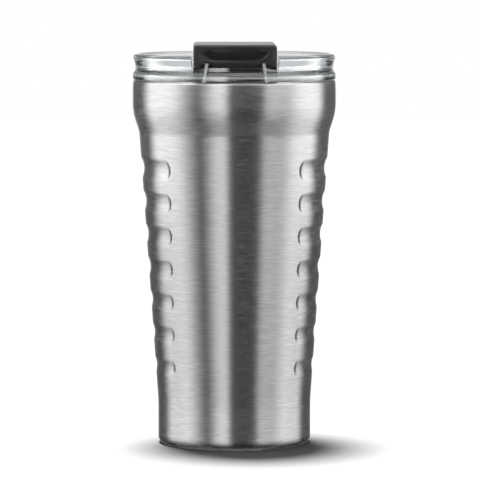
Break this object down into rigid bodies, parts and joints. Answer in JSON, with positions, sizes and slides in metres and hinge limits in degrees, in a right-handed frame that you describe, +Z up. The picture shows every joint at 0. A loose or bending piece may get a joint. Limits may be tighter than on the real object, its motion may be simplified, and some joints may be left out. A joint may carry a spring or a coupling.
{
  "type": "insulated tumbler",
  "caption": "Insulated steel travel tumbler with stepped collar, grip dents down both sides, clear press-in lid and hinged flip tab over the drinking opening.",
  "frame": {"origin": "centre of the foot, on the plane the tumbler stands on, on the axis of the body", "axes": "+Z up along the body's axis, -Y towards the lip of the flip tab, +X to the right seen from the tab's side"},
  "size_m": [0.088, 0.0898, 0.1744],
  "materials": {
    "outer_steel": "fine circumferential brush lines",
    "liner_steel": "satin, electropolished",
    "pressed_steel": "as pressed",
    "copper_foil": "bright copper foil",
    "solder_glass": "dark glassy bead",
    "getter_metal": "sintered, matte",
    "clear_plastic": "clear, polished",
    "black_plastic": "semi-gloss",
    "black_silicone": "matte",
    "clear_silicone": "translucent, matte",
    "pin_steel": "ground"
  },
  "bodies": {
    "tumbler": {"outer_shell": "outer_steel", "outer_bottom": "pressed_steel", "base_cover": "outer_steel", "sealing_bead": "solder_glass", "getter_cup": "pressed_steel", "getter_pellet": "getter_metal", "radiation_foil": "copper_foil", "liner_tube": "liner_steel", "liner_bottom": "liner_steel"},
    "lid": {"lid_body": "clear_plastic", "lid_gasket": "clear_silicone", "hinge_pin": "pin_steel"},
    "flip": {"flip_tab": "black_plastic", "sip_stopper": "black_silicone", "vent_plug": "black_silicone"}
  },
  "joints": [
    {"name": "lid_lift", "type": "slide", "parent": "tumbler", "child": "lid", "axis": [0, 0, 1], "range_m": [0, 0.06]},
    {"name": "flip_hinge", "type": "hinge", "parent": "lid", "child": "flip", "pos_m": [0, 0.001, 0.167], "axis": [-1, 0, 0], "range_deg": [0, 110]}
  ]
}
